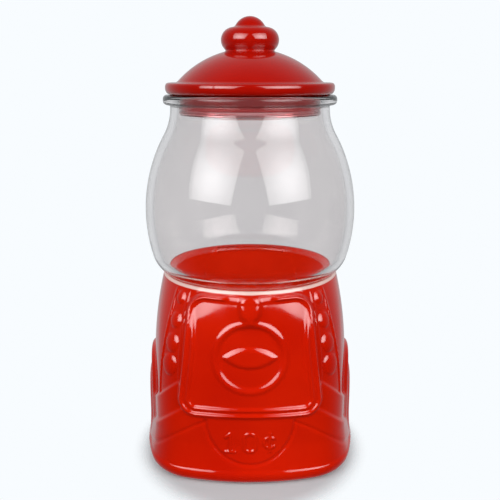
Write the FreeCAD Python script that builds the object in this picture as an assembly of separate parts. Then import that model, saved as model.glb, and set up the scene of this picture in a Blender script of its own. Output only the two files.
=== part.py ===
# A lidded glass sweet jar moulded in the shape of a gumball machine.
# Millimetres, +Z up, origin under the middle of the foot, front towards -Y.
import FreeCAD
import Part
import functools
import math
import os

Vec = FreeCAD.Vector
UP = Vec(0, 0, 1)
CENTRE = Vec(0, 0, 0)

# Glass globe, drawn upwards from the waist
WAIST_Z = 121.2
WAIST_R = 55.2
WAIST_ANGLE = 56.8
GLOBE_TURN = 19.7
TURN_ANGLE = 16.0
BELLY_CURVE = 99.6
NECK_R = 50.0
NECK_CURVE = 33.5
NECK_STRAIGHT = 1.8
RIM_OUT = 4.4
RIM_HEIGHT = 6.0
RIM_ROUND = 2.4
GLASS_WALL = 4.8
THROAT_R = 48.0
THROAT_BEAD = 4.0

# Pedestal: half-width of its plain wall, and how square its section grows towards the foot
WALL_HALF = 63.0
LEDGE_WIDTH = 0.8
FLARE_Z = 65.0
SQUARE_Z = 40.0
FACE_BULGE = 1.24
CORNER_CUT = 0.567
PEDESTAL_WALL = 6.0
FLOOR_THICK = 9.0
FLOOR_ROUND = 8.0
FOOT_STEP = 6.0
FOOT_HEIGHT = 13.0
HEEL_ROUND = 8.0
PUSH_UP_R = 44.0
PUSH_UP_RISE = 3.0

# Relief on the pedestal: heights above the plain wall, places and sizes of the raised shapes
ARCH_CURVE = 69.0
ARCHES = ((79.0, 1.5), (61.0, 3.0))
PLAQUES = ((25.5, 70.0, 2.8), (20.5, 55.0, 4.2))
FIELD_RAISE = 1.9
FIELD_TOP_HALF = 36.0
FIELD_FOOT_HALF = 44.0
FIELD_FOOT_Z = 44.0
FIELD_TOP_GAP = 3.5
FRAME_RAISE = 3.4
FRAME_BAND = 4.4
FRAME_MARGIN = 3.6
FIELD_ROUND = 12.0
PANEL_RAISE = 2.2
RING_Z = 82.0
RING_R = 22.0
RING_BAND = 3.8
RING_RAISE = 4.2
DISH_RAISE = 1.2
HANDLE_HALF = 17.2
HANDLE_RISE = 7.0
HANDLE_RAISE = 5.4
SLOT_HALF = 9.0
SLOT_Z = 112.0
SLOT_RAISE = 5.0
FLAP_R = 26.6
FLAP_Z = 40.0
FLAP_RAISE = 5.6
RIVETS = 4
RIVET_TOP_Z = 113.5
RIVET_PITCH = 13.6
RIVET_TOP_R = 3.8
RIVET_GROWTH = 0.95
RIVET_RAISE = 1.6

# Coat on the pedestal and on the lid
COAT = 0.3
COAT_FOOT_GAP = 1.0

# Lid, measured up from the rim, and its plug, measured down
FLANGE_R = 52.9
FLANGE_HEIGHT = 7.4
FLANGE_LOWER_ROUND = 3.4
FLANGE_UPPER_ROUND = 1.8
DOME_CURVE = 61.0
DOME_TOP = 28.0
KNOB_R = 18.0
KNOB_CURVE = 7.7
KNOB_Z = 32.8
FINIAL_CURVE = 10.2
LID_HEIGHT = 47.0
LID_WALL = 4.5
PLUG_GAP = 2.1
PLUG_DEPTH = 13.3
PLUG_WALL = 4.0
PLUG_BARE = 4.3
LIP_OUT = 0.8
LIP_HEIGHT = 1.4

# Seal ring between plug and mouth
SEAL_SLIDE_GAP = 0.3
SEAL_RUN_GAP = 0.08
SEAL_TOP_GAP = 0.4
SEAL_BAND = 0.8
SEAL_FINS = 4
FIN_HEIGHT = 1.2

# Longer than anything it cuts, and shorter than anything drawn
REACH = 200.0
TOLERANCE = 1e-6


# Helpers

def turned(edges):
    """The solid made by turning a closed half section, drawn in the XZ plane, about the Z axis."""
    return Part.Face(Part.Wire(edges)).revolve(CENTRE, UP, 360)


def at(r, z):
    """A point of a half section."""
    return Vec(r, 0, z)


def line(a, b):
    return Part.LineSegment(a, b).toShape()


def arc(centre, radius, start, end):
    """An arc of a half section between two angles in degrees, measured from +X towards +Z."""
    angles = [math.radians(start + (end - start) * k / 2) for k in range(3)]
    points = [centre + at(radius * math.cos(a), radius * math.sin(a)) for a in angles]
    return Part.Arc(*points).toShape()


def polar(centre, radius, angle):
    return centre + at(radius * math.cos(math.radians(angle)), radius * math.sin(math.radians(angle)))


def closed(edges):
    """Closes an open chain of edges by straight edges to the axis and along it."""
    first = edges[0].Vertexes[0].Point
    last = edges[-1].Vertexes[-1].Point
    corners = [last, at(0, last.z), at(0, first.z), first]
    extra = [line(a, b) for a, b in zip(corners, corners[1:]) if a.distanceToPoint(b) > TOLERANCE]
    return Part.__sortEdges__(edges + extra)


# Globe, neck and rim

turn_centre = polar(at(WAIST_R, WAIST_Z), GLOBE_TURN, 180 - WAIST_ANGLE)
belly_centre = polar(turn_centre, BELLY_CURVE - GLOBE_TURN, 180 - TURN_ANGLE)
neck_offset = NECK_R + NECK_CURVE - belly_centre.x
neck_rise = math.sqrt((BELLY_CURVE + NECK_CURVE) ** 2 - neck_offset ** 2)
neck_centre = belly_centre + at(neck_offset, neck_rise)
neck_angle = math.degrees(math.atan2(neck_rise, neck_offset))
rim_foot_z = neck_centre.z + NECK_STRAIGHT
rim_top_z = rim_foot_z + RIM_HEIGHT
rim_r = NECK_R + RIM_OUT
mouth_r = NECK_R - GLASS_WALL


def globe_outside():
    """The globe, neck and rim as a filled solid, standing on the waist and reaching into the pedestal."""
    sunk = at(WAIST_R, WAIST_Z - GLASS_WALL)
    foot = rim_r - RIM_ROUND
    edges = [
        line(sunk, at(WAIST_R, WAIST_Z)),
        arc(turn_centre, GLOBE_TURN, -WAIST_ANGLE, -TURN_ANGLE),
        arc(belly_centre, BELLY_CURVE, -TURN_ANGLE, neck_angle),
        arc(neck_centre, NECK_CURVE, 180 + neck_angle, 180),
        line(at(NECK_R, neck_centre.z), at(NECK_R, rim_foot_z)),
        line(at(NECK_R, rim_foot_z), at(foot, rim_foot_z)),
        arc(at(foot, rim_foot_z + RIM_ROUND), RIM_ROUND, -90, 0),
        line(at(rim_r, rim_foot_z + RIM_ROUND), at(rim_r, rim_top_z - RIM_ROUND)),
        arc(at(foot, rim_top_z - RIM_ROUND), RIM_ROUND, 0, 90),
        line(at(foot, rim_top_z), at(0, rim_top_z)),
    ]
    return turned(closed(edges))


inner_turn = GLOBE_TURN - GLASS_WALL
bead_offset = THROAT_R + THROAT_BEAD - turn_centre.x
bead_drop = math.sqrt((inner_turn + THROAT_BEAD) ** 2 - bead_offset ** 2)
bead_centre = turn_centre + at(bead_offset, -bead_drop)
bead_angle = math.degrees(math.atan2(bead_drop, bead_offset))


def globe_inside():
    """The space inside the globe, from the throat of the pedestal up through the mouth."""
    edges = [
        arc(bead_centre, THROAT_BEAD, 180, 180 - bead_angle),
        arc(turn_centre, inner_turn, -bead_angle, -TURN_ANGLE),
        arc(belly_centre, BELLY_CURVE - GLASS_WALL, -TURN_ANGLE, neck_angle),
        arc(neck_centre, NECK_CURVE + GLASS_WALL, 180 + neck_angle, 180),
        line(at(mouth_r, neck_centre.z), at(mouth_r, rim_top_z + RIM_HEIGHT)),
    ]
    return turned(closed(edges))


# Pedestal

spread = math.degrees(math.asin(FACE_BULGE / (math.sqrt(2) * (FACE_BULGE + CORNER_CUT))))
face_angle = 45 - spread
ledge_half = WAIST_R + LEDGE_WIDTH
flare = WAIST_Z - FLARE_Z
flare_curve = (flare ** 2 + (WALL_HALF - ledge_half) ** 2) / (2 * (WALL_HALF - ledge_half))


def wall_half(z):
    """Half-width of the plain wall: upright below the flare, then an arc in to the ledge at the waist."""
    over = max(0.0, z - FLARE_Z)
    return WALL_HALF - flare_curve + math.sqrt(flare_curve ** 2 - over ** 2)


def squareness(z):
    """0 where the section is a circle, at the waist, and 1 where it is a rounded square, at the foot."""
    share = min(1.0, max(0.0, (WAIST_Z - z) / (WAIST_Z - SQUARE_Z)))
    return math.sin(math.pi / 2 * share)


def wall_point(z, half, square, facing):
    """The point of a section whose outward normal is at the angle facing, in degrees from +X."""
    face_r = half * (1 + FACE_BULGE * square)
    corner_r = half * (1 - CORNER_CUT * square)
    face = 90 * round(facing / 90)
    if abs(facing - face) <= face_angle + TOLERANCE:
        centre, radius, aim = half - face_r, face_r, face
    else:
        reach = (face_r - corner_r) * math.sin(math.radians(face_angle))
        centre, radius = math.sqrt(2) * reach, corner_r
        aim = face + math.copysign(45, facing - face)
    aim, facing = math.radians(aim), math.radians(facing)
    x = centre * math.cos(aim) + radius * math.cos(facing)
    y = centre * math.sin(aim) + radius * math.sin(facing)
    return Vec(x, y, z)


def section(z, half, square, grow=0.0):
    """A closed rounded square: four shallow face arcs and four corner arcs, grown outwards all round."""
    edges = []
    for side in range(4):
        face = 90 * side
        for start, end in ((face - face_angle, face + face_angle), (face + face_angle, face + 90 - face_angle)):
            points = []
            for facing in (start, (start + end) / 2, end):
                normal = Vec(math.cos(math.radians(facing)), math.sin(math.radians(facing)), 0)
                points.append(wall_point(z, half, square, facing) + normal * grow)
            edges.append(Part.Arc(*points).toShape())
    return Part.Wire(edges)


@functools.lru_cache(maxsize=None)
def pedestal(grow):
    """The plain pedestal as a filled solid, with its wall moved outwards."""
    levels = [0, SQUARE_Z / 2, SQUARE_Z, FLARE_Z]
    levels += [FLARE_Z + flare * k / 4 for k in range(1, 5)]
    return Part.makeLoft([section(z, wall_half(z), squareness(z), grow) for z in levels], True, False)


def pedestal_inside():
    """The space inside the pedestal: the plain wall moved inwards, rounded at the floor, open at the throat."""
    low = [FLOOR_THICK, (FLOOR_THICK + FLARE_Z) / 2, FLARE_Z, FLARE_Z + flare / 2]
    wires = [section(z, wall_half(z) - PEDESTAL_WALL, squareness(z)) for z in low]
    wires.append(section(bead_centre.z, THROAT_R, 0))
    room = Part.makeLoft(wires, True, False)
    floor = min(room.Faces, key=lambda f: f.CenterOfMass.z)
    return room.makeFillet(FLOOR_ROUND, floor.Edges)


# Relief outlines, drawn on the front and pushed through the wall

def rounded(corners, radius):
    """A face in the XZ plane with straight sides and rounded corners, given in order round the outline."""
    edges = []
    tips = []
    count = len(corners)
    for k in range(count):
        tip, before, after = (at(*corners[(k + step) % count]) for step in (0, -1, 1))
        to_before = (before - tip).normalize()
        to_after = (after - tip).normalize()
        half_turn = to_before.getAngle(to_after) / 2
        set_back = radius / math.tan(half_turn)
        middle = tip + (to_before + to_after).normalize() * (radius / math.sin(half_turn) - radius)
        start, end = tip + to_before * set_back, tip + to_after * set_back
        edges.append(Part.Arc(start, middle, end).toShape())
        tips.append((start, end))
    edges += [line(tips[k][1], tips[(k + 1) % count][0]) for k in range(count)]
    return Part.Face(Part.Wire(Part.__sortEdges__(edges)))


def front(face):
    """A bar with this outline that reaches out of the front of the pedestal."""
    return face.extrude(Vec(0, -REACH, 0))


def disc(x, z, radius):
    return Part.Face(Part.Wire(Part.makeCircle(radius, Vec(x, 0, z), Vec(0, 1, 0))))


def trapezium(inset, grow):
    """The outline of the front field, drawn in by inset and let out by grow."""
    change = grow - inset
    top, foot = WAIST_Z - FIELD_TOP_GAP + change, FIELD_FOOT_Z - change
    upper, lower = FIELD_TOP_HALF + change, FIELD_FOOT_HALF + change
    return rounded([(-lower, foot), (lower, foot), (upper, top), (-upper, top)], FIELD_ROUND + change)


def almond(half, rise):
    left, right = at(-half, RING_Z), at(half, RING_Z)
    upper = Part.Arc(left, at(0, RING_Z + rise), right).toShape()
    lower = Part.Arc(right, at(0, RING_Z - rise), left).toShape()
    return Part.Face(Part.Wire([upper, lower]))


def both_ways(shape):
    """The shape and its copy turned half round to the back."""
    other = shape.copy()
    other.rotate(CENTRE, UP, 180)
    return [shape, other]


def arch(crown, grow):
    """A round-topped bar through the pedestal from front to back."""
    centre_z = crown - ARCH_CURVE
    bar = Part.makeCylinder(ARCH_CURVE + grow, 2 * REACH, Vec(0, -REACH, centre_z), Vec(0, 1, 0))
    return bar.common(Part.makeBox(2 * REACH, 2 * REACH, REACH, Vec(-REACH, -REACH, 0)))


def plaque(half, crown, grow):
    """A round-topped panel that reaches out of one side of the pedestal, standing on the foot."""
    spring = crown - half
    legs = Part.makeBox(2 * (half + grow), REACH, spring, Vec(-half - grow, -REACH, 0))
    bar = legs.fuse(front(disc(0, spring, half + grow)))
    bar.rotate(CENTRE, UP, 90)
    return bar


def rivets(grow):
    """The domed rivets down the four corners, growing towards the foot."""
    domes = []
    for corner in (45, 135, 225, 315):
        aim = Vec(math.cos(math.radians(corner)), math.sin(math.radians(corner)), 0)
        for k in range(RIVETS):
            z = RIVET_TOP_Z - RIVET_PITCH * k
            radius = RIVET_TOP_R + RIVET_GROWTH * k
            ball = (radius ** 2 + RIVET_RAISE ** 2) / (2 * RIVET_RAISE)
            seat = wall_point(z, wall_half(z), squareness(z), corner)
            domes.append(Part.makeSphere(ball + grow, seat - aim * (ball - RIVET_RAISE)))
    return domes


def foot(grow):
    """The square foot below the arches, with a rounded heel."""
    block = pedestal(FOOT_STEP + grow).common(
        Part.makeBox(2 * REACH, 2 * REACH, FOOT_HEIGHT + grow, Vec(-REACH, -REACH, 0)))
    sole = min(block.Faces, key=lambda f: f.CenterOfMass.z)
    return block.makeFillet(HEEL_ROUND + grow, sole.Edges)


@functools.lru_cache(maxsize=None)
def pedestal_form(grow):
    """The pedestal with all its relief as a filled solid, every face moved outwards by grow."""
    field_bars = both_ways(front(trapezium(0, grow)))
    notch_bars = both_ways(front(trapezium(0, -grow)))
    frame_bars = both_ways(front(trapezium(FRAME_MARGIN, grow)))
    window_bars = both_ways(front(trapezium(FRAME_MARGIN + FRAME_BAND, -grow)))
    clear_above = Part.makeBox(2 * REACH, 2 * REACH, REACH, Vec(-REACH, -REACH, HEEL_ROUND))
    pads = [foot(grow)]
    for crown, height in ARCHES:
        band = pedestal(height + grow).common(arch(crown, grow)).common(clear_above)
        for bar in notch_bars:
            band = band.cut(bar)
        pads.append(band)
    for half, crown, height in PLAQUES:
        for bar in both_ways(plaque(half, crown, grow)):
            pads.append(pedestal(height + grow).common(bar).common(clear_above))
    ring_bar = front(disc(0, RING_Z, RING_R + grow))
    dish_bar = front(disc(0, RING_Z, RING_R - RING_BAND - grow))
    for bar, window_bar, frame_bar in zip(field_bars, window_bars, frame_bars):
        pads.append(pedestal(FIELD_RAISE + grow).common(bar).cut(window_bar))
        pads.append(pedestal(FRAME_RAISE + grow).common(frame_bar).cut(window_bar))
    pads.append(pedestal(PANEL_RAISE + grow).common(front(trapezium(FRAME_MARGIN, 0))).cut(dish_bar))
    pads.append(pedestal(RING_RAISE + grow).common(ring_bar).cut(dish_bar))
    pads.append(pedestal(DISH_RAISE + grow).common(front(disc(0, RING_Z, RING_R))))
    pads.append(pedestal(HANDLE_RAISE + grow).common(front(almond(HANDLE_HALF + grow, HANDLE_RISE + grow))))
    pads.append(pedestal(SLOT_RAISE + grow).common(front(disc(0, SLOT_Z, SLOT_HALF + grow))))
    flap = front(disc(0, FLAP_Z, FLAP_R + grow)).common(
        Part.makeBox(2 * REACH, 2 * REACH, FLAP_Z + grow, Vec(-REACH, -REACH, 0)))
    pads.append(pedestal(FLAP_RAISE + grow).common(flap))
    return pedestal(grow).multiFuse(pads + rivets(grow)).removeSplitter()


# Jar and its coat

def make_jar():
    push_up_ball = (PUSH_UP_R ** 2 + PUSH_UP_RISE ** 2) / (2 * PUSH_UP_RISE)
    push_up = Part.makeSphere(push_up_ball, Vec(0, 0, PUSH_UP_RISE - push_up_ball))
    room = globe_inside().fuse(pedestal_inside())
    return pedestal_form(0.0).fuse(globe_outside()).cut(room).cut(push_up)


def make_jar_coat():
    slab = Part.makeBox(2 * REACH, 2 * REACH, WAIST_Z - COAT_FOOT_GAP, Vec(-REACH, -REACH, COAT_FOOT_GAP))
    return pedestal_form(COAT).common(slab).cut(pedestal_form(0.0))


# Lid, coat and seal

plug_r = mouth_r - PLUG_GAP
dome_centre = at(0, rim_top_z + DOME_TOP - DOME_CURVE)
knob_centre = at(KNOB_R - KNOB_CURVE, rim_top_z + KNOB_Z)
finial_centre = at(0, rim_top_z + LID_HEIGHT - FINIAL_CURVE)


def meeting(first, first_r, second, second_r):
    """The outer point where two circles of a half section cross."""
    apart = second - first
    along = (apart.Length ** 2 + first_r ** 2 - second_r ** 2) / (2 * apart.Length)
    across = math.sqrt(first_r ** 2 - along ** 2)
    step = apart.normalize()
    spots = [first + step * along + at(step.z, -step.x) * side * across for side in (1, -1)]
    return max(spots, key=lambda p: p.x)


def angle_of(point, centre):
    return math.degrees(math.atan2(point.z - centre.z, point.x - centre.x))


def lid_form(inset):
    """The lid with its plug as a filled solid, every face but the bottom moved inwards by inset."""
    dome_r, knob_r, finial_r = DOME_CURVE - inset, KNOB_CURVE - inset, FINIAL_CURVE - inset
    crease = meeting(finial_centre, finial_r, knob_centre, knob_r)
    root = meeting(dome_centre, dome_r, knob_centre, knob_r)
    top_z, seat_z = rim_top_z + FLANGE_HEIGHT - inset, rim_top_z + inset
    edge_r, plug = FLANGE_R - inset, plug_r - inset
    upper, lower = FLANGE_UPPER_ROUND - inset, FLANGE_LOWER_ROUND - inset
    dome_foot = at(math.sqrt(dome_r ** 2 - (top_z - dome_centre.z) ** 2), top_z)
    edges = [
        arc(finial_centre, finial_r, 90, angle_of(crease, finial_centre)),
        arc(knob_centre, knob_r, angle_of(crease, knob_centre), angle_of(root, knob_centre)),
        arc(dome_centre, dome_r, angle_of(root, dome_centre), angle_of(dome_foot, dome_centre)),
        line(dome_foot, at(edge_r - upper, top_z)),
        arc(at(edge_r - upper, top_z - upper), upper, 90, 0),
        line(at(edge_r, top_z - upper), at(edge_r, seat_z + lower)),
        arc(at(edge_r - lower, seat_z + lower), lower, 0, -90),
        line(at(edge_r - lower, seat_z), at(plug, seat_z)),
        line(at(plug, seat_z), at(plug, rim_top_z - PLUG_DEPTH)),
    ]
    return turned(closed(edges))


def make_lid():
    inner_r = plug_r - PLUG_WALL
    ceiling_r = DOME_CURVE - LID_WALL
    ceiling = at(inner_r, dome_centre.z + math.sqrt(ceiling_r ** 2 - inner_r ** 2))
    hollow = turned(closed([
        arc(dome_centre, ceiling_r, 90, angle_of(ceiling, dome_centre)),
        line(ceiling, at(inner_r, rim_top_z - 2 * PLUG_DEPTH)),
    ]))
    lip_z = rim_top_z - PLUG_DEPTH
    lip = Part.makeCylinder(plug_r + LIP_OUT, LIP_HEIGHT, Vec(0, 0, lip_z))
    return lid_form(COAT).fuse(lip).cut(hollow)


def make_lid_coat():
    bare_z = rim_top_z - PLUG_DEPTH + PLUG_BARE
    slab = Part.makeCylinder(REACH, REACH, Vec(0, 0, bare_z))
    return lid_form(0.0).common(slab).cut(lid_form(COAT))


def make_seal():
    """A ring on the plug with fins towards the mouth, standing on the plug's lip."""
    inner_r = plug_r + SEAL_RUN_GAP
    band_r = inner_r + SEAL_BAND
    fin_r = mouth_r - SEAL_SLIDE_GAP
    foot_z = rim_top_z - PLUG_DEPTH + LIP_HEIGHT
    height = rim_top_z - SEAL_TOP_GAP - foot_z
    ring = Part.makeCylinder(band_r, height, Vec(0, 0, foot_z))
    pitch = (height - FIN_HEIGHT) / (SEAL_FINS - 1)
    fins = [Part.makeCylinder(fin_r, FIN_HEIGHT, Vec(0, 0, foot_z + pitch * k)) for k in range(SEAL_FINS)]
    bore = Part.makeCylinder(inner_r, height, Vec(0, 0, foot_z))
    return ring.multiFuse(fins).cut(bore).removeSplitter()


nodes = {
    "jar_glass": make_jar(),
    "jar_coat": make_jar_coat(),
    "lid_glass": make_lid(),
    "lid_coat": make_lid_coat(),
    "lid_seal": make_seal(),
}
os.makedirs("parts", exist_ok=True)
for name, shape in nodes.items():
    print(name, "solids", len(shape.Solids), "valid", shape.isValid(), "volume", round(shape.Volume / 1000, 2), "cm3")
    shape.exportStep("parts/" + name + ".step")
print("rim top", round(rim_top_z, 2), "mouth", mouth_r, "height", round(rim_top_z + LID_HEIGHT, 2))
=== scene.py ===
# %% [markdown]
# # A glass sweet jar in the shape of a gumball machine
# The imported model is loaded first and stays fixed. The jar is thick clear glass whose pedestal carries a glossy
# red coat over moulded relief, under a red coated lid with a clear ribbed seal. Every piece below is a surface
# worked out with numpy in millimetres and handed to Blender in metres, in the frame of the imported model.

# %% Load the frame
import bpy
import math
import numpy as np
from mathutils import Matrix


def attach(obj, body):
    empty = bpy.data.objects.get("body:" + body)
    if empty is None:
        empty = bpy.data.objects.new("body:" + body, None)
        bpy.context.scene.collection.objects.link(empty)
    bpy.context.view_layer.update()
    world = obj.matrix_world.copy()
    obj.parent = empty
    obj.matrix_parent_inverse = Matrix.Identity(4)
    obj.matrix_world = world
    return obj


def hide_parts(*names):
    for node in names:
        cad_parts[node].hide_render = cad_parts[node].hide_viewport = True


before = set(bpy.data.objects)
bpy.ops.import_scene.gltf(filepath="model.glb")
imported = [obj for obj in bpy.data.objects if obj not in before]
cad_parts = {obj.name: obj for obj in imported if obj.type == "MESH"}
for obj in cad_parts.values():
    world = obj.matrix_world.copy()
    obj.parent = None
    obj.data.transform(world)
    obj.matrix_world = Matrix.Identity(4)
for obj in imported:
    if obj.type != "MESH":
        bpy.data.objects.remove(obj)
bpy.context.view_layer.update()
MM = 0.001

# %% [markdown]
# A surface that is a grid of points needs only one mesh helper. Rows run along the outline and columns run round
# the axis, so the columns always close on themselves. The rows may also close (a ring), or end in a pole where
# the outline meets the axis, and a pole is one vertex with a fan of triangles so that nothing stays open.

# %% Mesh from a grid of points


def grid_piece(name, points, body, node, ring=False):
    """Joins a rows x columns x 3 grid into one closed skin: quads between rows, fans at the poles or a ring."""
    rows, columns = points.shape[:2]
    index = np.arange(rows * columns).reshape(rows, columns)
    if ring:
        index = np.vstack([index, index[:1]])
    along = np.roll(index, -1, axis=1)
    quads = np.stack([index[:-1], along[:-1], along[1:], index[1:]], axis=-1).reshape(-1, 4)
    vertices = points.reshape(-1, 3)
    loops, sizes = quads.ravel(), np.full(len(quads), 4)
    if not ring:
        poles = np.array([points[0].mean(axis=0), points[-1].mean(axis=0)])
        first, last = len(vertices), len(vertices) + 1
        vertices = np.vstack([vertices, poles])
        start = np.stack([along[0], index[0], np.full(columns, first)], axis=-1)
        end = np.stack([index[-1], along[-1], np.full(columns, last)], axis=-1)
        loops = np.concatenate([loops, start.ravel(), end.ravel()])
        sizes = np.concatenate([sizes, np.full(2 * columns, 3)])
    mesh = bpy.data.meshes.new(name)
    mesh.vertices.add(len(vertices))
    mesh.vertices.foreach_set("co", (vertices * MM).astype(np.float32).ravel())
    mesh.loops.add(len(loops))
    mesh.loops.foreach_set("vertex_index", loops.astype(np.int32))
    mesh.polygons.add(len(sizes))
    mesh.polygons.foreach_set("loop_start", (np.cumsum(sizes) - sizes).astype(np.int32))
    mesh.update(calc_edges=True)
    mesh.validate()
    mesh.shade_smooth()
    piece = bpy.data.objects.new(name, mesh)
    bpy.context.scene.collection.objects.link(piece)
    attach(piece, body)
    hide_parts(node)
    print(name, "triangles", len(quads) * 2 + (0 if ring else 2 * columns))
    return piece


print("grid helper ready, one millimetre is", MM)

# %% [markdown]
# The globe is round and the foot is a rounded square, and the pedestal blends from one to the other. One section
# formula gives both: four shallow face arcs and four corner arcs that share tangents. The angle that the wall
# faces is the parameter, so a circle and a square made this way have matching points.

# %% Sections that blend from a circle to a rounded square
FACE_BULGE = 1.24
CORNER_CUT = 0.567
face_angle = math.pi / 4 - math.asin(FACE_BULGE / (math.sqrt(2) * (FACE_BULGE + CORNER_CUT)))


def section(half, square, facing):
    """x and y of the wall that faces an angle: an arc centre on the nearest face or corner, plus its radius."""
    face_r = half * (1 + FACE_BULGE * square)
    corner_r = half * (1 - CORNER_CUT * square)
    face = np.round(facing / (math.pi / 2)) * (math.pi / 2)
    on_face = np.abs(facing - face) <= face_angle
    reach = math.sqrt(2) * (face_r - corner_r) * math.sin(face_angle)
    aim = np.where(on_face, face, face + np.sign(facing - face) * math.pi / 4)
    centre = np.where(on_face, half - face_r, reach)
    radius = np.where(on_face, face_r, corner_r)
    x = centre * np.cos(aim) + radius * np.cos(facing)
    y = centre * np.sin(aim) + radius * np.sin(facing)
    return x, y


def spun(outline, facing):
    """Carries an outline of (half-width, height, squareness) rows round the axis."""
    half, z, square = (outline[:, k, None] for k in range(3))
    x, y = section(half, square, facing[None, :])
    return np.stack([x, y, np.broadcast_to(z, x.shape)], axis=-1)


def arc(centre, radius, start, end, count):
    """Points of an arc in the half section, between two angles in degrees."""
    t = np.radians(np.linspace(start, end, count))
    return np.stack([centre[0] + radius * np.cos(t), centre[1] + radius * np.sin(t)], axis=-1)


def run(a, b, count):
    """Points of a straight stretch of the half section."""
    return np.linspace(a, b, count)


def round_rows(points):
    """Adds a squareness of 0 to points of a half section."""
    return np.column_stack([points, np.zeros(len(points))])


print("face angle", round(math.degrees(face_angle), 2))

# %% [markdown]
# The wall of the pedestal stands upright, then leans in along one arc to the waist. These two functions are used
# by the glass and by the coat, so both follow the same wall.

# %% Wall of the pedestal
WAIST_Z = 121.2
WAIST_R = 55.2
WALL_HALF = 63.0
LEDGE_WIDTH = 0.8
FLARE_Z = 65.0
SQUARE_Z = 40.0
ledge_half = WAIST_R + LEDGE_WIDTH
flare_curve = ((WAIST_Z - FLARE_Z) ** 2 + (WALL_HALF - ledge_half) ** 2) / (2 * (WALL_HALF - ledge_half))


def wall_half(z):
    """Half-width of the wall: constant below the flare, then a circle's sagitta is taken off."""
    over = np.maximum(0, z - FLARE_Z)
    return WALL_HALF - flare_curve + np.sqrt(flare_curve ** 2 - over ** 2)


def squareness(z):
    """0 at the waist, rising as a quarter sine to 1 near the foot."""
    return np.sin(math.pi / 2 * np.clip((WAIST_Z - z) / (WAIST_Z - SQUARE_Z), 0, 1))


print("wall", WALL_HALF, "below, ledge", round(ledge_half, 2), "at the waist")

# %% [markdown]
# The glass is one closed skin: under the foot, up the outside, over the rim, and down the inside to the floor.
# Light bends at both faces of a real wall, so the wall has its true thickness. The globe is three tangent arcs,
# and the inside repeats them with the wall taken off.

# %% Outline of the glass
WAIST_ANGLE = 56.8
GLOBE_TURN = 19.7
TURN_ANGLE = 16.0
BELLY_CURVE = 99.6
NECK_R = 50.0
NECK_CURVE = 33.5
NECK_STRAIGHT = 1.8
RIM_OUT = 4.4
RIM_HEIGHT = 6.0
RIM_ROUND = 2.4
RIM_ROOT = 0.8
MOUTH_ROUND = 1.6
GLASS_WALL = 4.8
THROAT_R = 48.0
THROAT_BEAD = 4.0
PEDESTAL_WALL = 6.0
FLOOR_THICK = 9.0
FLOOR_ROUND = 8.0
FOOT_STEP = 6.0
HEEL_ROUND = 8.0
HEEL_END = -68
PUSH_UP_R = 44.0
PUSH_UP_RISE = 3.0
POLE_R = 1.0

turn_centre = (WAIST_R - GLOBE_TURN * math.cos(math.radians(WAIST_ANGLE)),
               WAIST_Z + GLOBE_TURN * math.sin(math.radians(WAIST_ANGLE)))
belly_centre = (turn_centre[0] - (BELLY_CURVE - GLOBE_TURN) * math.cos(math.radians(TURN_ANGLE)),
                turn_centre[1] + (BELLY_CURVE - GLOBE_TURN) * math.sin(math.radians(TURN_ANGLE)))
neck_offset = NECK_R + NECK_CURVE - belly_centre[0]
neck_rise = math.sqrt((BELLY_CURVE + NECK_CURVE) ** 2 - neck_offset ** 2)
neck_centre = (belly_centre[0] + neck_offset, belly_centre[1] + neck_rise)
neck_angle = math.degrees(math.atan2(neck_rise, neck_offset))
rim_foot_z = neck_centre[1] + NECK_STRAIGHT
rim_top_z = rim_foot_z + RIM_HEIGHT
rim_r = NECK_R + RIM_OUT
mouth_r = NECK_R - GLASS_WALL
inner_turn = GLOBE_TURN - GLASS_WALL
bead_offset = THROAT_R + THROAT_BEAD - turn_centre[0]
bead_drop = math.sqrt((inner_turn + THROAT_BEAD) ** 2 - bead_offset ** 2)
bead_centre = (turn_centre[0] + bead_offset, turn_centre[1] - bead_drop)
bead_angle = math.degrees(math.atan2(bead_drop, bead_offset))


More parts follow.
